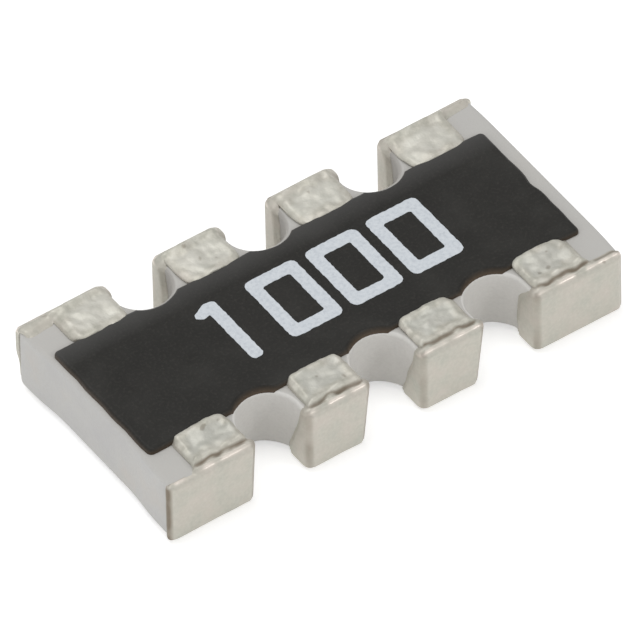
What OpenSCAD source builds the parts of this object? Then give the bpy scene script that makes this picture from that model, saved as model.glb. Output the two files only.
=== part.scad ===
// Chip resistor array: four isolated thick-film resistors on one notched ceramic plate.
// X runs along the chip, Y across it and Z up. The origin is the middle of the chip
// in the plane of its solder lands. Terminals count along the front (-Y) from -X to +X,
// then back along the rear.

/* [Chip] */
// Length over the terminals
chip_l = 3.2; // [3.0:0.05:3.5]
// Width over the terminals
chip_w = 1.58; // [1.45:0.01:1.8]
// Height from the solder lands to the crown of the top pads
chip_t = 0.51; // [0.4:0.01:0.7]
// Distance between neighbouring resistors
pitch = 0.8; // [0.72:0.01:0.85]

/* [Notches] */
// Width of a notch in the bare ceramic
notch_w = 0.38; // [0.28:0.01:0.42]
// Depth of a notch in from the ceramic's long side
notch_depth = 0.315; // [0.24:0.005:0.36]
// Radius on the upright corners of the ceramic tabs
tab_corner_r = 0.04; // [0.01:0.005:0.05]
// Radius on the long edges of the ceramic
ceramic_edge_r = 0.03; // [0.01:0.005:0.04]
// Depth of the shallow relief across each end
end_relief = 0.025; // [0.01:0.005:0.05]
// Width of the relief, between the end tabs
end_relief_w = 1.14; // [1.0:0.01:1.2]
// Broken rear left lower corner: its run along the chip
break_l = 0.1; // [0.04:0.01:0.14]
// Broken corner: its run across the chip
break_w = 0.18; // [0.04:0.01:0.22]
// Broken corner: its rise up the corner's edge
break_t = 0.14; // [0.04:0.01:0.2]

/* [Terminals] */
// Thickness of the plating on the tab's faces
plating_t = 0.02; // [0.015:0.005:0.035]
// Reach of a front terminal's plating round its tab, at the top of the ceramic
front_wrap = 0.07; // [0.06:0.005:0.15]
// Reach of a rear terminal's plating round its tab, at the top of the ceramic
rear_wrap = 0.1; // [0.06:0.005:0.15]
// Reach of the plating round the tab at the solder lands
wrap_bottom = 0.21; // [0.16:0.01:0.28]
// Reach of the plating round the chip's corners onto its ends
end_wrap = 0.055; // [0.05:0.005:0.1]
// Width of a top pad
pad_w = 0.37; // [0.33:0.01:0.42]
// Inner end of a top pad, from the terminal's outer face
pad_l = 0.33; // [0.28:0.01:0.38]
// Outer end of a top pad, from the terminal's outer face
pad_setback = 0.05; // [0.03:0.005:0.08]
// Radius on the inner corners of a top pad
pad_corner_r = 0.06; // [0.03:0.01:0.12]
// Height of a top pad's crown over the ceramic
pad_t = 0.045; // [0.04:0.005:0.06]
// Rise of the crown from the pad's sides to its middle
pad_crown = 0.012; // [0.005:0.001:0.015]
// Width of a solder land
land_w = 0.4; // [0.34:0.01:0.43]
// Length of a solder land
land_l = 0.32; // [0.26:0.01:0.4]
// Thickness of a solder land
land_t = 0.03; // [0.02:0.005:0.04]

/* [Films] */
// Thickness of a printed silver electrode
electrode_t = 0.008; // [0.005:0.001:0.01]
// Width of a printed silver electrode
electrode_w = 0.32; // [0.26:0.01:0.32]
// Open space between a resistor's front and rear electrodes
electrode_gap = 0.64; // [0.5:0.01:0.7]
// Length of a bottom electrode
bottom_electrode_l = 0.26; // [0.2:0.01:0.28]
// Thickness of the resistive film
resistor_t = 0.008; // [0.005:0.001:0.01]
// Width of the resistive film
resistor_w = 0.28; // [0.22:0.01:0.32]
// Overlap of the resistive film on each electrode
resistor_lap = 0.06; // [0.03:0.01:0.08]
// Thickness of the primary glass
glass_t = 0.008; // [0.005:0.001:0.01]
// Reach of the primary glass past the resistive film on every side
glass_margin = 0.03; // [0.01:0.005:0.04]
// Width of the laser trim cut
trim_w = 0.03; // [0.02:0.005:0.05]
// Length of the laser trim cut, in from the film's side
trim_l = 0.15; // [0.05:0.01:0.18]

/* [Overcoat] */
// Length of the overcoat on the ceramic
overcoat_l = 3.02; // [2.9:0.01:3.04]
// Width of the overcoat on the ceramic
overcoat_w = 0.98; // [0.92:0.01:1.06]
// Height of the overcoat over the ceramic
overcoat_t = 0.036; // [0.032:0.001:0.045]
// Run of the overcoat's thinning edge
overcoat_slope = 0.05; // [0.02:0.005:0.06]
// Bare ceramic between the overcoat and the rim of a notch
overcoat_clearance = 0.02; // [0.008:0.001:0.03]

/* [Hidden] */
$fn = 64;
resistors = 4;
terminals = 2 * resistors;
// Cutting shapes run this far past what they cut
past = 0.1;

base_l = chip_l - 2 * plating_t;
base_w = chip_w - 2 * plating_t;
base_t = chip_t - land_t - pad_t;
base_top = land_t + base_t;
// The plating's top lip lies on the ceramic beside the pad
wrap_z = base_top + plating_t;
terminal_edge_r = ceramic_edge_r + plating_t;
// Middle of the round back of a notch, from the chip's middle
notch_y = base_w / 2 - notch_depth + notch_w / 2;
resistor_l = electrode_gap + 2 * resistor_lap;
glass_w = resistor_w + 2 * glass_margin;
glass_l = resistor_l + 2 * glass_margin;
// The crown is part of a large cylinder that lies along the pad
crown_r = (pow(pad_w / 2, 2) + pow(pad_crown, 2)) / (2 * pad_crown);

function names(stem, count) = [for (i = [1:count]) str(stem, "_", i)];

function rear(i) = i > resistors ? 1 : 0;
function column(i) = rear(i) ? terminals + 1 - i : i;
function column_x(c) = (c - (resistors + 1) / 2) * pitch;

// Puts a front piece of the terminal's column on the terminal's own side
module at_terminal(i) {
    mirror([0, rear(i), 0])
        translate([column_x(column(i)), 0, 0])
            children();
}

// Sweeps a section drawn in Y and Z along X
module along_x(length) {
    translate([-length / 2, 0, 0])
        rotate([90, 0, 90])
            linear_extrude(length)
                children();
}

// Sweeps a section drawn in X and Z towards -Y
module along_y(length) {
    rotate([90, 0, 0])
        linear_extrude(length)
            children();
}

// Rectangle that starts at the X axis, with its far corners rounded
module tongue(w, l, r) {
    translate([-w / 2, 0])
        square([w, l - r]);
    translate([r - w / 2, 0])
        square([w - 2 * r, l]);
    for (side = [-1, 1])
        translate([side * (w / 2 - r), l - r])
            circle(r);
}

module rounded_plate(l, w, r) {
    square([l - 2 * r, w], center = true);
    square([l, w - 2 * r], center = true);
    for (x = [-1, 1], y = [-1, 1])
        translate([x * (l / 2 - r), y * (w / 2 - r)])
            circle(r);
}

// Plan of one rear notch, with the rounded lips at its mouth
module notch_plan(grow) {
    half = notch_w / 2 - grow;
    lip = tab_corner_r + grow;
    mouth = base_w / 2 + grow;
    translate([0, notch_y])
        circle(half);
    translate([-half, notch_y])
        square([2 * half, mouth + past - notch_y]);
    difference() {
        translate([-half - lip, mouth - lip])
            square([2 * (half + lip), lip + past]);
        for (side = [-1, 1])
            translate([side * (half + lip), mouth - lip])
                circle(lip);
    }
}

module at_notches() {
    for (side = [0, 1], i = [1:resistors - 1])
        mirror([0, side, 0])
            translate([column_x(i) + pitch / 2, 0, 0])
                children();
}

// Plan of the notched ceramic, grown by the thickness of what coats it
module chip_plan(grow) {
    difference() {
        rounded_plate(base_l + 2 * grow, base_w + 2 * grow, tab_corner_r + grow);
        at_notches() notch_plan(grow);
    }
}

// Cuts the shallow relief into both ends of a plan
module with_end_reliefs() {
    difference() {
        children();
        for (turn = [90, 270])
            rotate(turn)
                translate([0, base_l / 2 - end_relief])
                    relief_plan();
    }
}

// The relief's floor runs into its sides in a round
module relief_plan() {
    r = end_relief;
    translate([r - end_relief_w / 2, 0])
        square([end_relief_w - 2 * r, r + past]);
    for (side = [-1, 1])
        translate([side * (end_relief_w / 2 - r), r])
            circle(r);
}

// Block whose face is the flat break across the rear left lower corner
module corner_break() {
    out = [-1 / break_l, 1 / break_w, -1 / break_t];
    side = break_l + break_w + break_t;
    translate([-chip_l / 2, chip_w / 2, break_t])
        rotate([0, acos(out.z / norm(out)), atan2(out.y, out.x)])
            translate([-side, -side, 0])
                cube([2 * side, 2 * side, side]);
}

// The plate's edges are rounded by two sections, one along each side
module ceramic() {
    difference() {
        intersection() {
            translate([0, 0, land_t])
                linear_extrude(base_t)
                    with_end_reliefs() chip_plan(0);
            along_x(base_l)
                plate_section(base_w);
            translate([0, base_w / 2, 0])
                along_y(base_w)
                    plate_section(base_l);
        }
        corner_break();
    }
}

module plate_section(w) {
    translate([0, land_t + base_t / 2])
        rounded_plate(w, base_t, ceramic_edge_r);
}

module substrate() {
    color("gainsboro") ceramic();
}

// Printed films on one front tab, in the tab's own column
module bottom_film() {
    translate([-electrode_w / 2, ceramic_edge_r - base_w / 2, land_t - electrode_t])
        cube([electrode_w, bottom_electrode_l, electrode_t]);
}

module top_film() {
    translate([-electrode_w / 2, ceramic_edge_r - base_w / 2, base_top])
        cube([electrode_w, (base_w - electrode_gap) / 2 - ceramic_edge_r, electrode_t]);
}

module bottom_electrode(i) {
    color("lightgray") at_terminal(i) bottom_film();
}

module top_electrode(i) {
    color("lightgray") at_terminal(i) top_film();
}

// Front and rear electrode of one resistor
module electrode_pair() {
    for (side = [0, 1])
        mirror([0, side, 0])
            top_film();
}

// Flat print of one thickness that steps up where it climbs onto the electrodes
module stepped_print(w, l, t) {
    step = electrode_gap / 2 - t;
    translate([-w / 2, -l / 2, base_top])
        cube([w, l, t]);
    for (side = [0, 1])
        mirror([0, side, 0])
            translate([-w / 2, step, base_top])
                cube([w, l / 2 - step, electrode_t + t]);
}

// Laser cut from the film's side, through the resistor and its glass
module trim_cut() {
    translate([resistor_w / 2 - trim_l, -trim_w / 2, base_top - past])
        cube([trim_l + glass_margin + past, trim_w, 2 * past]);
}

module resistive_film() {
    difference() {
        stepped_print(resistor_w, resistor_l, resistor_t);
        electrode_pair();
        trim_cut();
    }
}

module glass_film() {
    difference() {
        stepped_print(glass_w, glass_l, resistor_t + glass_t);
        resistive_film();
        electrode_pair();
        trim_cut();
    }
}

module resistor(i) {
    color("dimgray") translate([column_x(i), 0, 0]) resistive_film();
}

module glass_coat(i) {
    color("darkseagreen") translate([column_x(i), 0, 0]) glass_film();
}

// Section of a coat that thins out to nothing at both edges, where it is w wide.
// Its slopes run on down into the ceramic by one coat's thickness.
module coat_section(w) {
    low = w / 2 + overcoat_slope;
    high = w / 2 - overcoat_slope;
    translate([0, base_top])
        polygon([[-low, -overcoat_t], [low, -overcoat_t], [high, overcoat_t], [-high, overcoat_t]]);
}

// What keeps the coat back from a rear notch, opening upwards at the coat's own slope.
// It starts two coats' thickness below the ceramic's top and ends as far above the coat.
module coat_notch() {
    rim = notch_w / 2 + overcoat_clearance;
    low = rim - 2 * overcoat_slope;
    high = rim + 3 * overcoat_slope;
    height = 5 * overcoat_t;
    straight = base_w / 2 - notch_y;
    translate([0, notch_y, base_top - 2 * overcoat_t]) {
        cylinder(h = height, r1 = low, r2 = high);
        translate([0, straight, 0])
            along_y(straight)
                polygon([[-low, 0], [low, 0], [high, height], [-high, height]]);
    }
}

module coat_form() {
    difference() {
        intersection() {
            along_x(chip_l) coat_section(overcoat_w);
            translate([0, chip_w / 2, 0])
                along_y(chip_w)
                    coat_section(overcoat_l);
        }
        at_notches() coat_notch();
    }
}

// The coat lies on the ceramic, so only the part over the ceramic's top is left of its form
module overcoat() {
    color("#383734") difference() {
        intersection() {
            coat_form();
            translate([-chip_l / 2, -chip_w / 2, base_top])
                cube([chip_l, chip_w, 2 * overcoat_t]);
        }
        for (i = [1:resistors])
            translate([column_x(i), 0, 0]) {
                electrode_pair();
                resistive_film();
                glass_film();
            }
    }
}

// Section of the plating on a front tab, with its reach at the top and at the bottom
module wrap_section(top, bottom) {
    intersection() {
        polygon([
            [-chip_w / 2, 0],
            [bottom - chip_w / 2, 0],
            [top - chip_w / 2, wrap_z],
            [-chip_w / 2, wrap_z]
        ]);
        translate([0, wrap_z / 2])
            rounded_plate(chip_w, wrap_z, terminal_edge_r);
    }
}

// Block of space that holds one column's tab, out to the middle of the notches beside it
module column_space(c) {
    left = c == 1 ? -chip_l / 2 : column_x(c) - pitch / 2;
    right = c == resistors ? chip_l / 2 : column_x(c) + pitch / 2;
    translate([left, -chip_w / 2, 0])
        cube([right - left, chip_w / 2, chip_t]);
}

// On the chip's ends the plating only turns the corner
module wrap(c, reach) {
    intersection() {
        linear_extrude(wrap_z) chip_plan(plating_t);
        column_space(c);
        union() {
            along_x(base_l) wrap_section(reach, wrap_bottom);
            along_x(chip_l) wrap_section(end_wrap, end_wrap);
        }
    }
}

module top_pad() {
    intersection() {
        translate([0, pad_setback - chip_w / 2, base_top])
            linear_extrude(pad_t)
                tongue(pad_w, pad_l - pad_setback, pad_corner_r);
        translate([0, 0, chip_t - crown_r])
            rotate([90, 0, 0])
                cylinder(h = chip_w, r = crown_r);
    }
}

// The land's outer end follows the plating's lower edge
module land() {
    translate([0, terminal_edge_r - chip_w / 2, 0])
        linear_extrude(land_t)
            tongue(land_w, land_l - terminal_edge_r, pad_corner_r);
}

module terminal(i) {
    c = column(i);
    color("silver") difference() {
        mirror([0, rear(i), 0]) {
            wrap(c, rear(i) ? rear_wrap : front_wrap);
            translate([column_x(c), 0, 0]) {
                top_pad();
                land();
            }
        }
        ceramic();
        coat_form();
        at_terminal(i) {
            top_film();
            bottom_film();
        }
        corner_break();
    }
}

substrate();
for (i = [1:terminals]) {
    bottom_electrode(i);
    top_electrode(i);
    terminal(i);
}
for (i = [1:resistors]) {
    resistor(i);
    glass_coat(i);
}
overcoat();
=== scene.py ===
import math

import bmesh
import bpy
from mathutils import Matrix, Vector, noise


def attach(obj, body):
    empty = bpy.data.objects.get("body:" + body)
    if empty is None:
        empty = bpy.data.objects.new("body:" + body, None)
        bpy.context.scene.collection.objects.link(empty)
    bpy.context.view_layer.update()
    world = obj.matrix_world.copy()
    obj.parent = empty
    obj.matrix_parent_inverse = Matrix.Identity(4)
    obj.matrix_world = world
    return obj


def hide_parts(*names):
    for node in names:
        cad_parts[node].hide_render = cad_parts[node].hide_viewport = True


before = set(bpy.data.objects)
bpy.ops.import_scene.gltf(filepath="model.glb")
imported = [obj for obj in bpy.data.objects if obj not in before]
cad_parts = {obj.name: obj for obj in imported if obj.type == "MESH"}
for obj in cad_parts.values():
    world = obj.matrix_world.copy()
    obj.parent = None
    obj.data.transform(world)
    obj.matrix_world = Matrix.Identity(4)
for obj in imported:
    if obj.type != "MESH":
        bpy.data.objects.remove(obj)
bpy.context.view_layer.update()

# Ceramic plate: the chip's base, a plate of fired alumina. Its notches are punched
# before it is fired, so every edge is a little round, and the notches open downwards.
# The rear left lower corner is broken off.
millimetre = 0.001
chip_x, chip_y = 1.6, 0.79
plate_x, plate_y = 1.58, 0.77
plate_under, plate_top = 0.03, 0.465
columns = (-1.2, -0.4, 0.4, 1.2)
notches = (-0.8, 0.0, 0.8)
half_pitch = 0.4
notch_half, notch_back, notch_turn = 0.19, 0.455, 0.645
notch_lean = {-0.8: 0.025, 0.0: 0.05, 0.8: 0.055}
notch_narrow = {-0.8: 0.01, 0.0: 0.018, 0.8: 0.026}
back_lean, wall_reach = 0.025, 0.24
rim_round, tip_round, relief_round = 0.042, 0.055, 0.08
relief_inner, relief_outer = 0.38, 0.58
left_hollow, right_swell = 0.022, 0.01
break_x, break_y, break_z = 0.1, 0.18, 0.14
close = 1e-4


def smooth_step(low, high, value):
    t = min(max((value - low) / (high - low), 0.0), 1.0)
    return t * t * (3.0 - 2.0 * t)


def flat_face(bm, points):
    return bm.faces.new([bm.verts.new((x, y, 0.0)) for x, y in points])


def round_corners(bm, corners, radius, segments):
    bmesh.ops.bevel(bm, geom=corners, offset=radius, offset_type="OFFSET", segments=segments,
                    profile=0.5, affect="VERTICES", material=-1, clamp_overlap=True)


def round_edges(bm, edges, radius, segments):
    bmesh.ops.bevel(bm, geom=edges, offset=radius, offset_type="OFFSET", segments=segments,
                    profile=0.5, affect="EDGES", material=-1, clamp_overlap=True)


def lift(bm, faces, height):
    grown = bmesh.ops.extrude_face_region(bm, geom=faces)["geom"]
    upper = [part for part in grown if isinstance(part, bmesh.types.BMVert)]
    bmesh.ops.translate(bm, verts=upper, vec=(0.0, 0.0, height))
    return [part for part in grown if isinstance(part, bmesh.types.BMFace)]


def warp_notches(bm):
    """Leans the left walls and the backs of the notches, which are wider at the solder lands."""
    for vert in bm.verts:
        for x in notches:
            aside, rear = vert.co.x - x, vert.co.y > 0.0
            near = 1.0 - smooth_step(wall_reach, half_pitch, abs(aside))
            in_notch = smooth_step(notch_back - 0.02, notch_back + 0.15, abs(vert.co.y))
            low = 1.0 - min(max(vert.co.z / plate_top, 0.0), 1.0)
            if aside < 0.0:
                vert.co.x -= notch_lean[x] * near * in_notch * low
            elif rear:
                vert.co.x -= notch_narrow[x] * near * in_notch
            middle = 1.0 - smooth_step(0.05, notch_half, abs(aside))
            by_back = smooth_step(notch_back - 0.1, notch_back, abs(vert.co.y))
            vert.co.y -= math.copysign(back_lean * middle * by_back * low, vert.co.y)


def finished(bm, name, replaced):
    """Makes a piece of a shape drawn in millimetres."""
    bmesh.ops.scale(bm, verts=bm.verts, vec=(millimetre, millimetre, millimetre))
    for face in bm.faces:
        face.smooth = True
    mesh = bpy.data.meshes.new(name)
    bm.to_mesh(mesh)
    bm.free()
    piece = bpy.data.objects.new(name, mesh)
    bpy.context.scene.collection.objects.link(piece)
    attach(piece, "root")
    if replaced:
        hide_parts(replaced)
    return piece


def even_faces(piece):
    """Shades broad faces flat and leaves the roundness to the narrow ones."""
    even = piece.modifiers.new("even_faces", "WEIGHTED_NORMAL")
    even.weight = 60


plan = bmesh.new()
outline = []
for side in (-1, 1):
    outline.append((side * -plate_x, side * plate_y))
    for x in notches:
        start, end = side * (x - notch_half), side * (x + notch_half)
        outline += [(start, side * plate_y), (start, side * notch_back),
                    (end, side * notch_back), (end, side * plate_y)]
    outline.append((side * plate_x, side * plate_y))
    by_tips = plate_x + (right_swell if side > 0 else 0.0)
    middle = plate_x + (right_swell if side > 0 else -left_hollow)
    outline += [(side * by_tips, side * relief_outer), (side * middle, side * relief_inner),
                (side * middle, side * -relief_inner), (side * by_tips, side * -relief_outer)]
flat_face(plan, outline)
backs = [v for v in plan.verts if abs(abs(v.co.y) - notch_back) < close]
round_corners(plan, backs, notch_half - 0.001, 12)
tips = [v for v in plan.verts if abs(abs(v.co.y) - plate_y) < close]
round_corners(plan, tips, tip_round, 6)
ends = [v for v in plan.verts if abs(v.co.x) > columns[-1]]
reliefs = [v for v in ends if relief_inner - close < abs(v.co.y) < relief_outer + close]
round_corners(plan, reliefs, relief_round, 5)
bmesh.ops.translate(plan, verts=plan.verts, vec=(0.0, 0.0, plate_under))
lift(plan, plan.faces[:], plate_top - plate_under)
bmesh.ops.recalc_face_normals(plan, faces=plan.faces)
rims = [e for e in plan.edges if abs(e.verts[0].co.z - e.verts[1].co.z) < close]
round_edges(plan, rims, rim_round, 5)
broken = Vector((-1 / break_x, 1 / break_y, -1 / break_z)).normalized()
bmesh.ops.bisect_plane(plan, geom=plan.verts[:] + plan.edges[:] + plan.faces[:], dist=1e-6,
                       plane_co=(-chip_x, chip_y, break_z), plane_no=broken, clear_outer=True)
bmesh.ops.holes_fill(plan, edges=plan.edges[:], sides=0)
# A mask of the notch walls, where light and shade are painted into the ceramic's colour.
notch_wall_light_and_shade = plan.verts.layers.float.new("notch_wall_light_and_shade")
for vert in plan.verts:
    apart = min(abs(vert.co.x - x) for x in notches)
    on_wall = plate_under + 0.002 < vert.co.z < plate_top - 0.002
    in_notch = smooth_step(notch_back - 0.035, notch_back - 0.005, abs(vert.co.y))
    vert[notch_wall_light_and_shade] = on_wall * (1.0 - smooth_step(wall_reach, wall_reach + 0.04, apart)) * in_notch
warp_notches(plan)
plate = finished(plan, "ceramic_plate", "substrate")
even_faces(plate)


def srgb(red, green, blue):
    """A colour as it looks on screen, in linear light."""
    linear = [c / 255 / 12.92 if c < 10.4 else ((c / 255 + 0.055) / 1.055) ** 2.4 for c in (red, green, blue)]
    return (*linear, 1.0)


class Finish:
    """A surface made of nodes on Object coordinates, with lengths in millimetres."""

    def __init__(self, name):
        self.material = bpy.data.materials.new(name)
        self.material.use_nodes = True
        self.nodes = self.material.node_tree.nodes
        self.links = self.material.node_tree.links
        self.shader = self.nodes["Principled BSDF"]
        self.place = self.nodes.new("ShaderNodeTexCoord").outputs["Object"]

    def set(self, **sockets):
        for name, value in sockets.items():
            self.shader.inputs[name.replace("_", " ")].default_value = value

    def link(self, out, socket):
        self.links.new(out, self.shader.inputs[socket])

    def grain(self, size, detail=4.0):
        cloud = self.nodes.new("ShaderNodeTexNoise")
        cloud.inputs["Scale"].default_value = 1.0 / (size * millimetre)
        cloud.inputs["Detail"].default_value = detail
        cloud.inputs["Roughness"].default_value = 0.55
        self.links.new(self.place, cloud.inputs["Vector"])
        return cloud.outputs["Fac"]

    def ramp(self, fac, *stops):
        steps = self.nodes.new("ShaderNodeValToRGB")
        steps.color_ramp.elements[0].position, steps.color_ramp.elements[0].color = stops[0]
        steps.color_ramp.elements[1].position, steps.color_ramp.elements[1].color = stops[-1]
        for position, colour in stops[1:-1]:
            steps.color_ramp.elements.new(position).color = colour
        self.links.new(fac, steps.inputs["Fac"])
        return steps.outputs["Color"]

    def mix(self, fac, first, second):
        joint = self.nodes.new("ShaderNodeMix")
        joint.data_type = "RGBA"
        sockets = joint.inputs["Factor"], joint.inputs[6], joint.inputs[7]
        for socket, value in zip(sockets, (fac, first, second)):
            if isinstance(value, bpy.types.NodeSocket):
                self.links.new(value, socket)
            else:
                socket.default_value = value
        return joint.outputs[2]

    def range(self, fac, from_low, from_high, to_low, to_high):
        spread = self.nodes.new("ShaderNodeMapRange")
        self.links.new(fac, spread.inputs["Value"])
        limits = {"From Min": from_low, "From Max": from_high, "To Min": to_low, "To Max": to_high}
        for name, value in limits.items():
            spread.inputs[name].default_value = value
        return spread.outputs["Result"]

    def between(self, axis, low, high, first, last):
        """Goes from a first to a last value between two places on an axis."""
        parts = self.nodes.new("ShaderNodeSeparateXYZ")
        self.links.new(self.place, parts.inputs["Vector"])
        return self.range(parts.outputs[axis], low * millimetre, high * millimetre, first, last)

    def attribute(self, name):
        kept = self.nodes.new("ShaderNodeAttribute")
        kept.attribute_name = name
        return kept.outputs["Fac"]

    def bump(self, height, depth, under=None):
        relief = self.nodes.new("ShaderNodeBump")
        relief.inputs["Distance"].default_value = depth * millimetre
        relief.inputs["Strength"].default_value = 1.0
        self.links.new(height, relief.inputs["Height"])
        if under:
            self.links.new(under, relief.inputs["Normal"])
        return relief.outputs["Normal"]

    def onto(self, piece):
        piece.data.materials.clear()
        piece.data.materials.append(self.material)


alumina = Finish("fired_alumina")
alumina.set(Roughness=0.62, Specular_IOR_Level=0.35)
clouds = alumina.ramp(alumina.grain(0.35), (0.3, srgb(213, 212, 211)), (0.55, srgb(219, 218, 215)),
                      (0.75, srgb(221, 217, 211)))
grains = alumina.grain(0.018, detail=3.0)
# Painted shade: the top face and the top of the walls are darkened towards grey, as if less light fell there.
painted_top_shade = alumina.between("Z", 0.44, 0.463, 0.0, 0.7)
clouds = alumina.mix(painted_top_shade, clouds, srgb(194, 192, 187))
# Painted light and shade on the notch walls: the front walls lighter, the rear walls darker, as light reaches
# into the notches.
rear = alumina.between("Y", -0.3, 0.3, 0.0, 1.0)
painted_wall_light_and_shade = alumina.mix(rear, srgb(233, 231, 227), srgb(182, 179, 174))
clouds = alumina.mix(alumina.attribute("notch_wall_light_and_shade"), clouds, painted_wall_light_and_shade)
speckled = alumina.mix(alumina.range(grains, 0.35, 0.7, 0.0, 0.16), clouds, srgb(200, 196, 192))
alumina.link(speckled, "Base Color")
alumina.link(alumina.bump(grains, 0.0025), "Normal")
alumina.onto(plate)

# Silver films: the inner ends of the terminals, printed in silver paste on the top and
# the underside of the plate and fired. The plating and the overcoat hide them.
silver = Finish("fired_silver_paste")
silver.set(Metallic=0.9)
greys = silver.ramp(silver.grain(0.05), (0.3, srgb(182, 178, 168)), (0.7, srgb(214, 211, 202)))
silver.link(greys, "Base Color")
silver.link(silver.range(silver.grain(0.02), 0.3, 0.7, 0.4, 0.65), "Roughness")
for number in range(1, 9):
    silver.onto(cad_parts[f"top_electrode_{number}"])
    silver.onto(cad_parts[f"bottom_electrode_{number}"])

# Resistive films: four prints of a dark glassy paste between the silver films, each cut
# into from one side by a laser to bring it to its value. The overcoat hides them.
resistive = Finish("resistive_paste")
darks = resistive.ramp(resistive.grain(0.03), (0.3, srgb(38, 37, 38)), (0.7, srgb(66, 64, 63)))
resistive.link(darks, "Base Color")
resistive.link(resistive.range(resistive.grain(0.015), 0.3, 0.7, 0.3, 0.5), "Roughness")
for number in range(1, 5):
    resistive.onto(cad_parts[f"resistor_{number}"])

# Primary glass: a thin green glass print fired over each resistive film before the laser
# cut, which goes through it. The overcoat hides it.
glass = Finish("primary_glass")
glass.set(Transmission_Weight=0.2)
greens = glass.ramp(glass.grain(0.06), (0.3, srgb(96, 124, 104)), (0.7, srgb(128, 154, 130)))
glass.link(greens, "Base Color")
glass.link(glass.range(glass.grain(0.02), 0.3, 0.7, 0.12, 0.3), "Roughness")
for number in range(1, 5):
    glass.onto(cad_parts[f"glass_coat_{number}"])

# Overcoat: charcoal resin, screen printed over all four resistors in one go and cured.
# Surface tension rounds its edges. The print sits a little off centre, so that it runs
# thin over the front notches' rims.
coat_x, coat_y, coat_top, coat_depth = 1.51, 0.49, 0.501, 0.048
coat_corner, coat_shoulder = 0.032, 0.028
coat_left, coat_front, coat_short = 0.008, 0.018, 0.014
rim_cut, rim_gap = 0.21, 0.007


def ridge(value, middle, width):
    return math.exp(-((value - middle) / width) ** 2)


def waver(place, waves, seed):
    """A wander that changes along an edge, with so many waves to the millimetre."""
    x, y = place.x * waves, place.y * waves
    return Vector((noise.noise(Vector((x, y, seed))), noise.noise(Vector((x, y, -seed))), 0.0))


def divide(bm, edges, step):
    for edge in edges:
        bmesh.ops.subdivide_edges(bm, edges=[edge], cuts=int(edge.calc_length() / step))


def coat_edge():
    """Corners of the print and where the rims of the notches cut into it."""
    widest = math.acos((notch_turn - coat_y) / rim_cut)
    for side in (-1, 1):
        yield side * -coat_x, side * coat_y
        for x in notches:
            for step in range(13):
                angle = widest * (step / 6 - 1)
                yield side * (x + rim_cut * math.sin(angle)), side * (notch_turn - rim_cut * math.cos(angle))
        yield side * coat_x, side * coat_y


coat = bmesh.new()
flat_face(coat, list(coat_edge()))
round_corners(coat, [v for v in coat.verts if abs(abs(v.co.x) - coat_x) < close], coat_corner, 5)
divide(coat, [e for e in coat.edges if e.calc_length() > 0.1], 0.03)
for vert in coat.verts:
    wander = waver(vert.co, 6, 3.7) * 0.007 + waver(vert.co, 25, 9.1) * 0.002
    if vert.co.x > 1.4:
        wander.x -= 0.016 * ridge(vert.co.y, -0.02, 0.05)
    vert.co.x += wander.x - coat_left - coat_short * smooth_step(1.3, 1.45, abs(vert.co.x))
    vert.co.y += wander.y - coat_front
    for x in notches:
        middle = Vector((x, math.copysign(notch_turn, vert.co.y), 0.0))
        away = vert.co - middle
        if away.length < notch_half + rim_gap:
            vert.co = middle + away.normalized() * (notch_half + rim_gap)
lift(coat, coat.faces[:], coat_depth)
bmesh.ops.recalc_face_normals(coat, faces=coat.faces)
shoulder = [e for e in coat.edges if min(v.co.z for v in e.verts) > coat_depth - close]
round_edges(coat, shoulder, coat_shoulder, 7)
bmesh.ops.translate(coat, verts=coat.verts, vec=(0.0, 0.0, coat_top - coat_depth))
for vert in coat.verts:
    from_middle = min(math.hypot(vert.co.x - x, abs(vert.co.y) - notch_turn) for x in notches)
    beyond = min(max(notch_half + rim_round - from_middle, 0.0), 0.9 * rim_round)
    vert.co.z -= rim_round - math.sqrt(rim_round ** 2 - beyond ** 2)
overcoat = finished(coat, "overcoat_print", "overcoat")
even_faces(overcoat)

charcoal = Finish("charcoal_resin")
charcoal.set(Specular_IOR_Level=0.3)
clouds = charcoal.ramp(charcoal.grain(0.3, detail=6.0), (0.3, srgb(32, 31, 28)), (0.5, srgb(38, 37, 34)),
                       (0.72, srgb(48, 47, 44)))
specks = charcoal.grain(0.02, detail=2.0)
black = charcoal.mix(charcoal.range(specks, 0.5, 0.72, 0.0, 0.35), clouds, srgb(64, 61, 57))
thin = charcoal.between("Z", plate_top, 0.497, 0.85, 0.0)
# Painted sheen: the resin turns paler grey towards its rear edge, where its curve would catch light.
painted_rear_sheen = charcoal.between("Y", 0.3, 0.48, 0.0, 0.7)
black = charcoal.mix(painted_rear_sheen, black, srgb(88, 87, 86))
charcoal.link(charcoal.mix(thin, black, srgb(86, 71, 55)), "Base Color")
charcoal.link(charcoal.range(charcoal.grain(0.12), 0.3, 0.7, 0.42, 0.58), "Roughness")
swell = charcoal.bump(charcoal.grain(0.25, detail=2.0), 0.006)
charcoal.link(charcoal.bump(specks, 0.0015, under=swell), "Normal")
charcoal.onto(overcoat)

# Value code: four plain digits in white ink, screen printed on the cured overcoat. The
# strokes have the slightly ragged edge of a coarse screen.
ink_rise, ink_sunk = 0.004, 0.002
digit_low, digit_high, digit_half, stroke = -0.257, 0.266, 0.18, 0.085
outer_corner, inner_corner, one_corner = 0.042, 0.016, 0.008
code = ((1, -0.593), (0, -0.171), (0, 0.254), (0, 0.679))
one = [(-0.03, 0.268), (0.022, 0.264), (0.041, 0.245), (0.041, -0.238), (0.022, -0.257), (-0.022, -0.257),
       (-0.041, -0.238), (-0.041, 0.178), (-0.092, 0.166), (-0.128, 0.196), (-0.118, 0.222)]


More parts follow.
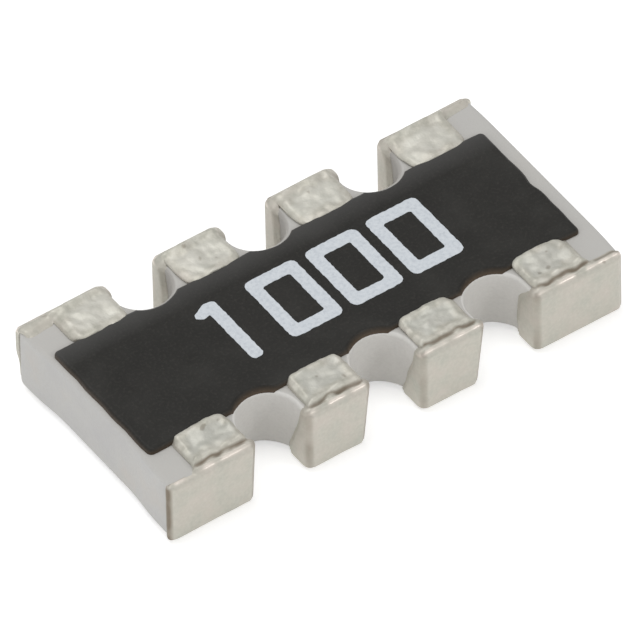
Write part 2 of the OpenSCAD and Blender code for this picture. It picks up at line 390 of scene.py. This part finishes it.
def print_digit(digit, x):
    ink = bmesh.new()
    if digit == 1:
        flat_face(ink, one[::-1])
        round_corners(ink, ink.verts[:], one_corner, 2)
    else:
        for inset, corner in ((0.0, outer_corner), (stroke, inner_corner)):
            wide, low, high = digit_half - inset, digit_low + inset, digit_high - inset
            loop = flat_face(ink, [(-wide, low), (wide, low), (wide, high), (-wide, high)])
            round_corners(ink, loop.verts[:], corner, 3)
        bmesh.ops.delete(ink, geom=ink.faces[:], context="FACES_ONLY")
        bmesh.ops.triangle_fill(ink, use_beauty=True, use_dissolve=False, edges=ink.edges[:])
    divide(ink, [e for e in ink.edges if e.is_boundary and e.calc_length() > 0.03], 0.012)
    bmesh.ops.translate(ink, verts=ink.verts, vec=(x, 0.0, coat_top - ink_sunk))
    for vert in ink.verts:
        wander = waver(vert.co, 45, 1.3) * 0.0045
        vert.co.x += wander.x
        vert.co.y += wander.y
    lift(ink, ink.faces[:], ink_rise)
    bmesh.ops.recalc_face_normals(ink, faces=ink.faces)
    return ink


white_ink = Finish("white_ink")
white_ink.set(Roughness=0.6)
dots = white_ink.grain(0.022, detail=2.0)
whites = white_ink.ramp(dots, (0.25, srgb(203, 209, 216)), (0.5, srgb(218, 224, 230)),
                        (0.7, srgb(225, 230, 235)))
white_ink.link(whites, "Base Color")
white_ink.link(white_ink.bump(dots, 0.003), "Normal")
for place, (digit, x) in enumerate(code, 1):
    mark = finished(print_digit(digit, x), f"value_digit_{place}", None)
    for polygon in mark.data.polygons:
        polygon.use_smooth = False
    white_ink.onto(mark)

# Terminals: nickel and matte tin, barrel plated round each tab of the plate in one skin.
# The tin heaps up on the top pads, with a crease between each pad and the plated lip,
# and thins out where the skin ends on the ceramic.
plating, tab_round = 0.02, 0.04
lip_top, wrap_low = 0.485, 0.21
front_reach, rear_reach = 0.07, 0.1
end_lip = {1: 0.6, 4: 0.95, 5: 0.95, 8: 1.35}
end_wrap = {1: front_reach, 4: front_reach, 5: rear_reach, 8: 0.055}
flank_lip, lip_depth, beside_pad = 1.4, 0.062, 0.19
face_kept, thinnest, sunk = 0.03, 0.15, 0.012
full_rounds, inner_rounds = (0.055, 0.055, 0.05), (0.055, 0.055, rim_round)
thin_rounds, land_rounds = (0.045, 0.045, rim_round), (0.06, 0.02, 0.04)
pad_half, pad_end, pad_forward = 0.185, 0.33, 0.017
brim_rise, pad_hollow, coarse_lump, fine_lump = 0.008, 0.005, 0.014, 0.008
crease_fill, lip_swell, face_bulge = 0.012, 0.007, 0.005
pad_shift = (0.01, 0.008, -0.02, -0.022, -0.016, -0.003, 0.0, 0.015)


def tin_skin(node):
    """A finely meshed copy of the plated skin, in millimetres."""
    skin = bmesh.new()
    skin.from_mesh(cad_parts[node].data)
    bmesh.ops.scale(skin, verts=skin.verts, vec=(1.0 / millimetre, 1.0 / millimetre, 1.0 / millimetre))
    bmesh.ops.remove_doubles(skin, verts=skin.verts, dist=1e-5)
    coarse = bpy.data.meshes.new("coarse_skin")
    skin.to_mesh(coarse)
    skin.free()
    blank = bpy.data.objects.new("coarse_skin", coarse)
    bpy.context.scene.collection.objects.link(blank)
    fine = blank.modifiers.new("fine_mesh", "REMESH")
    fine.mode, fine.voxel_size, fine.adaptivity = "VOXEL", 0.0065, 0.0
    seen = blank.evaluated_get(bpy.context.evaluated_depsgraph_get())
    skin = bmesh.new()
    skin.from_mesh(seen.to_mesh())
    seen.to_mesh_clear()
    bpy.data.objects.remove(blank)
    bpy.data.meshes.remove(coarse)
    return skin


def soften(skin, turns):
    for turn in range(turns):
        bmesh.ops.smooth_vert(skin, verts=skin.verts, factor=0.5,
                              use_axis_x=True, use_axis_y=True, use_axis_z=True)


def lumps(x, y, z, size, seed):
    return noise.noise(Vector((x / size, y / size, z / size + seed * 7.3)))


def crease(x, number):
    """How far behind a terminal's face the crease between its lip and its pad runs."""
    return 0.052 + 0.011 * lumps(x, 0, 0, 0.07, number)


def notch_wall(y):
    """Half of a notch's width at one distance from the chip's middle line."""
    return math.sqrt(notch_half ** 2 - max(notch_turn - abs(y), 0.0) ** 2)


def rounded(point, limits, radii):
    """Moves a point of a square-edged block to where it lies once the edges are round."""
    near = Vector([max(1.0 - (limit - value) / radius, 0.0)
                   for value, limit, radius in zip(point, limits, radii)])
    if near.length > 0.0:
        near *= 1.0 - max(near) / near.length
    return point - Vector([share * radius for share, radius in zip(near, radii)])


def lay_on(skin, column, side, reach, number):
    """Lays the skin on the plate's round edges, and lets it end thin and wander on the ceramic."""
    for vert in skin.verts:
        x, y, z = vert.co
        across, depth = abs(x - column), abs(y)
        outwards = math.copysign(1.0, x - column)
        outer_end = outwards * column > 1.0
        wall = plate_x - abs(column) if outer_end else half_pitch - notch_wall(y)
        turn = Vector((across - wall + tab_round, depth - plate_y + tab_round))
        if min(turn) > 0.0:
            turn *= turn.length / max(turn)
            across, depth = wall - tab_round + turn.x, plate_y - tab_round + turn.y
        inward = chip_y - depth
        on_top, on_wall = z > plate_top - 0.004, across > wall - 0.003
        if on_top and across < beside_pad and inward > lip_depth:
            continue
        base = Vector((min(across, wall), min(depth, plate_y), min(max(z, plate_under), plate_top)))
        over = Vector((across, depth, z)) - base
        goal, ended, fade = 1.0, 1.0, 0.05
        drift = 1.0 + 0.12 * lumps(x, 0, z, 0.12, number)
        if on_top and across > beside_pad:
            goal = (end_lip[number] if outer_end else flank_lip) * reach * drift
            ended = reach
        elif on_wall and outer_end:
            goal, ended, fade = end_wrap[number], reach, 0.06
        elif on_wall:
            ended = reach + (wrap_low - reach) * (1.0 - z / lip_top)
            goal = wrap_low - (0.0 if side < 0 else 0.03) - 0.03 * z / lip_top
            goal += (flank_lip * reach - goal) * smooth_step(0.05 if number in (2, 3) else 0.32, plate_top, z)
            goal *= drift
        if face_kept < inward < ended + 0.012:
            inward = face_kept + (inward - face_kept) * (goal - face_kept) / (ended - face_kept)
        thick = thinnest + (1.0 - thinnest) * smooth_step(0.0, fade, goal - inward)
        if number == 8 and outer_end:
            thick *= 1.0 - smooth_step(0.32, 0.38, across) * (1.0 - smooth_step(0.12, 0.34, z))
        if on_wall and not outer_end:
            wall = half_pitch - notch_wall(chip_y - inward)
            base.x = wall
        base.y = min(chip_y - inward, plate_y)
        plump = 1.0 if outer_end else 1.2
        over.x *= plump
        full = rounded(base + over, (wall + plating * plump, chip_y, lip_top), full_rounds)
        if over.length < 0.004:
            base.x -= sunk if on_wall else 0.0
            base.y -= sunk if base.y > plate_y - 0.004 else 0.0
            base.z -= sunk if on_top else 0.0
            full = rounded(base, (wall, plate_y, plate_top), inner_rounds)
        laid = rounded(base, (wall, plate_y, plate_top), thin_rounds) + over * thick
        laid = laid.lerp(full, smooth_step(0.4, 1.0, thick))
        if outer_end:
            by_land = smooth_step(0.3, 0.38, across) * (1.0 - smooth_step(0.02, 0.06, z))
            laid.x -= 0.04 * by_land * smooth_step(0.05, 0.1, inward)
        lower = rounded(Vector((laid.x, laid.y, -laid.z)), (wall + plating, chip_y, 0.0), land_rounds)
        vert.co = (column + outwards * lower.x, side * laid.y, -lower.z)


def heap_up(skin, drawn, column, side, number):
    """Raises and dents the tin as it grew on one terminal."""
    groove, filled, brim = (0.02, 0.072, 1.0) if side < 0 else (0.0, 0.06, 0.35)
    for vert, (x, y, z) in zip(skin.verts, drawn):
        across, inward = x - column, chip_y - abs(y)
        high = smooth_step(plate_top + 0.002, lip_top - 0.003, z)
        flank = pad_half - abs(across)
        edge = min(flank, pad_end - inward)
        on_pad = smooth_step(-0.02, 0.01, edge) * smooth_step(0.05, 0.09, inward)
        slope = 0.35 * (1.0 - smooth_step(-0.005, 0.04, flank)) * smooth_step(0.06, 0.1, inward)
        rise = -(z - plate_top) * slope * on_pad
        rise += brim * on_pad * brim_rise * ridge(edge, 0.03, 0.02)
        rise -= brim * on_pad * pad_hollow * smooth_step(0.04, 0.11, edge)
        rise += on_pad * coarse_lump * lumps(x, y, 0, 0.1, number)
        rise += on_pad * fine_lump * lumps(x, y, 0, 0.045, number + 20)
        behind_lip = smooth_step(-0.02, 0.03, flank)
        uneven = 1.0 + 0.8 * lumps(x, 0, 0, 0.06, number + 30)
        rise -= groove * ridge(inward, crease(x, number), 0.012) * behind_lip * uneven
        rise += crease_fill * ridge(inward, filled, 0.03) * behind_lip
        swell = lip_swell * (1.0 + lumps(x, 0, 0, 0.07, number + 40))
        rise += swell * ridge(inward, 0.022, 0.018) * (0.3 + 0.7 * behind_lip)
        vert.co.z += high * rise
        vert.co.x += pad_shift[number - 1] * high * on_pad
        vert.co.y -= pad_forward * high * smooth_step(0.15, pad_end - 0.03, inward)
        on_face = 1.0 - smooth_step(0.0, plating, inward)
        vert.co.y += side * on_face * face_bulge * (1.0 + 0.8 * lumps(x, 0, z, 0.16, number + 60))


def mark_wear(skin, drawn, column, side, number):
    """Keeps where the tin is stained and spotted, where shade is painted into its creases, corners and rear
    edges, where light and shade are painted on the pads' middles, and where the lip is rubbed smooth and a
    highlight is painted on it.
    """
    dirt_and_shade = skin.verts.layers.float.new("dirt_and_shade")
    pad_middle_light = skin.verts.layers.float.new("pad_middle_light")
    rubbed_and_highlight = skin.verts.layers.float.new("rubbed_and_highlight")
    for vert, (x, y, z) in zip(skin.verts, drawn):
        across, inward = x - column, chip_y - abs(y)
        flank = pad_half - abs(across)
        outer_end = across * column > 0.0 and abs(column) > 1.0
        patchy = 0.85 + 0.3 * lumps(x, y, z, 0.08, number)
        on_pads = smooth_step(0.47, 0.48, z)
        if side < 0:
            # Painted shade in the crease between the pad and the lip.
            stain_and_shade = on_pads * ridge(inward, crease(x, number), 0.008) * smooth_step(-0.02, 0.02, flank)
            if outer_end:
                # Painted shade down the outer end's front vertical corner, stronger on the left end.
                corner_shade = smooth_step(1.565, 1.585, abs(x)) * (1.0 - smooth_step(0.44, 0.47, z))
                corner_shade *= ridge(inward, 0.028, 0.024)
                # Painted shade where the lip's skin ends on the ceramic beside the pad.
                free_edge_shade = smooth_step(0.466, 0.472, z) * smooth_step(0.2, 0.23, abs(across))
                free_edge_shade *= ridge(inward, 0.046, 0.015)
                stain_and_shade = max(stain_and_shade, corner_shade * (1.2 if x < 0 else 0.4), 0.8 * free_edge_shade)
        else:
            # Painted shade in patches along the rear terminals' top rear edges.
            shade_patches = smooth_step(-0.15, 0.35, lumps(x, 0, 0, 0.11, number + 80))
            rear_edge_shade = smooth_step(0.42, 0.46, z) * (1.0 - smooth_step(0.015, 0.05, inward))
            stain_and_shade = (0.15 + 0.4 * shade_patches) * rear_edge_shade
        if not outer_end:
            band = 0.46 + 0.25 * lumps(0, side, z, 0.15, number + 50)
            stain_and_shade = max(stain_and_shade, band * ridge(abs(across), 0.212, 0.022) * ridge(inward, 0.018, 0.022))
        pits = smooth_step(0.5, 0.75, lumps(x, y, z, 0.045, number + 90)) * smooth_step(0.43, 0.47, z)
        vert[dirt_and_shade] = min(max(stain_and_shade * patchy, 0.5 * pits, 0.0), 1.0)
        # The pads' middles, away from their edges, which get painted light and shade.
        edge = min(flank, pad_end - inward, inward - 0.075) + 0.04 * lumps(x, y, 0, 0.08, number + 10)
        vert[pad_middle_light] = smooth_step(0.02, 0.07, edge) * on_pads
        # The lip's rounded edge: rubbed smooth, and a highlight is painted on it.
        strip = smooth_step(0.44, 0.46, z) * ridge(inward - lip_top + z, 0.006, 0.018)
        vert[rubbed_and_highlight] = strip * smooth_step(-0.4, 0.2, lumps(x, 0, 0, 0.09, number + 70))


tin = Finish("matte_tin")
tin.set(Metallic=0.5)
stains = tin.ramp(tin.grain(0.16, detail=3.0), (0.3, srgb(198, 197, 186)), (0.5, srgb(205, 201, 190)),
                  (0.7, srgb(210, 203, 193)))
grains = tin.grain(0.02, detail=3.0)
skin_colour = tin.mix(tin.range(grains, 0.4, 0.75, 0.0, 0.3), stains, srgb(224, 222, 212))
on_top = tin.between("Z", 0.48, 0.5, 0.0, 0.5)
patches = tin.ramp(tin.grain(0.055, detail=3.0), (0.36, srgb(198, 197, 184)), (0.5, srgb(220, 217, 205)),
                   (0.66, srgb(236, 234, 224)))
skin_colour = tin.mix(on_top, skin_colour, patches)
# Painted light and shade on the pads' middles: brighter on the rear pads, a darker bluish grey on the front
# pads, as the light falls on them.
front = tin.between("Y", -0.2, 0.2, 0.65, 0.0)
painted_pad_middle_light = tin.mix(front, srgb(229, 228, 219), srgb(184, 187, 182))
skin_colour = tin.mix(tin.range(tin.attribute("pad_middle_light"), 0.0, 1.0, 0.0, 0.5), skin_colour, painted_pad_middle_light)
# Painted highlight along the lip's rounded edge, where the rubbed tin is also made smoother.
polish_and_highlight = tin.attribute("rubbed_and_highlight")
skin_colour = tin.mix(polish_and_highlight, skin_colour, srgb(248, 238, 227))
# Brown stains and spots on the tin, with painted shade in the pads' creases, at the outer ends' corners and
# along the rear edges.
soil_and_shade_share = tin.range(tin.attribute("dirt_and_shade"), 0.05, 0.9, 0.0, 0.8)
tin.link(tin.mix(soil_and_shade_share, skin_colour, srgb(112, 96, 76)), "Base Color")
tin.link(tin.range(polish_and_highlight, 0.0, 1.0, 0.55, 0.3), "Roughness")
swell = tin.bump(tin.grain(0.05, detail=2.0), 0.004)
tin.link(tin.bump(grains, 0.0012, under=swell), "Normal")
for number in range(1, 9):
    column = columns[number - 1] if number < 5 else columns[8 - number]
    side, reach = (-1, front_reach) if number < 5 else (1, rear_reach)
    skin = tin_skin(f"terminal_{number}")
    soften(skin, 2)
    drawn = [vert.co.copy() for vert in skin.verts]
    lay_on(skin, column, side, reach, number)
    heap_up(skin, drawn, column, side, number)
    soften(skin, 6)
    mark_wear(skin, drawn, column, side, number)
    warp_notches(skin)
    terminal = finished(skin, f"tin_terminal_{number}", f"terminal_{number}")
    tin.onto(terminal)

# Studio: a white sheet under the chip in an even white room, a wide soft lamp over its rear
# left and weaker ones at its front right and left. The sheet glows a little for the camera
# and for mirrored light, and keeps the chip's shadow.
sheet_half = 0.08
sheet_mesh = bmesh.new()
bmesh.ops.create_grid(sheet_mesh, x_segments=4, y_segments=4, size=sheet_half)
sheet_data = bpy.data.meshes.new("white_sheet")
sheet_mesh.to_mesh(sheet_data)
sheet_mesh.free()
sheet = bpy.data.objects.new("white_sheet", sheet_data)
bpy.context.scene.collection.objects.link(sheet)

paper = bpy.data.materials.new("white_paper")
paper.use_nodes = True
nodes, links = paper.node_tree.nodes, paper.node_tree.links
nodes.clear()
matte = nodes.new("ShaderNodeBsdfDiffuse")
matte.inputs["Color"].default_value = (0.85, 0.85, 0.85, 1.0)
glow = nodes.new("ShaderNodeEmission")
glow.inputs["Strength"].default_value = 0.5
shown = nodes.new("ShaderNodeAddShader")
links.new(matte.outputs[0], shown.inputs[0])
links.new(glow.outputs[0], shown.inputs[1])
path = nodes.new("ShaderNodeLightPath")
seen = path.outputs["Is Camera Ray"]
for ray in ("Is Glossy Ray", "Is Transmission Ray"):
    larger = nodes.new("ShaderNodeMath")
    larger.operation = "MAXIMUM"
    links.new(seen, larger.inputs[0])
    links.new(path.outputs[ray], larger.inputs[1])
    seen = larger.outputs[0]
either = nodes.new("ShaderNodeMixShader")
links.new(seen, either.inputs["Fac"])
links.new(matte.outputs[0], either.inputs[1])
links.new(shown.outputs[0], either.inputs[2])
out = nodes.new("ShaderNodeOutputMaterial")
links.new(either.outputs[0], out.inputs["Surface"])
sheet_data.materials.append(paper)

room = bpy.data.worlds.new("white_room")
bpy.context.scene.world = room
room.use_nodes = True
room.node_tree.nodes["Background"].inputs["Color"].default_value = (1.0, 1.0, 1.0, 1.0)
room.node_tree.nodes["Background"].inputs["Strength"].default_value = 0.5


def soft_lamp(name, place, size, power):
    """A round lamp that points at the chip."""
    lamp = bpy.data.lights.new(name, "AREA")
    lamp.shape, lamp.size, lamp.energy = "DISK", size, power
    stand = bpy.data.objects.new(name, lamp)
    bpy.context.scene.collection.objects.link(stand)
    stand.location = place
    stand.rotation_mode = "QUATERNION"
    stand.rotation_quaternion = (-Vector(place)).to_track_quat("-Z", "Y")


soft_lamp("over_lamp", (-0.006, 0.012, 0.046), 0.034, 0.0066)
soft_lamp("front_lamp", (0.018, -0.034, 0.027), 0.015, 0.0024)
soft_lamp("left_lamp", (-0.045, -0.006, 0.02), 0.026, 0.0018)

# Camera: looks down on the chip's front left corner through a very long lens, from so far
# that parallel edges of the chip stay all but parallel in the picture.
distance = 120.0
right = Vector((0.81859, -0.57419, -0.01464)).normalized()
back = Vector((-0.38696, -0.57015, 0.7247)).normalized()
up = back.cross(right)
aim = Vector((0.0, 0.0, 0.255)) + right * 0.005826 - up * 0.024167
lens = bpy.data.cameras.new("camera")
lens.sensor_width, lens.lens = 36.0, 1173.7
lens.clip_start, lens.clip_end = 0.01, 1.0
camera = bpy.data.objects.new("camera", lens)
bpy.context.scene.collection.objects.link(camera)
pose = Matrix((right, up, back)).transposed().to_4x4()
pose.translation = (aim + back * distance) * millimetre
camera.matrix_world = pose
bpy.context.scene.camera = camera
bpy.context.scene.view_settings.view_transform = "Standard"

bpy.context.view_layer.update()
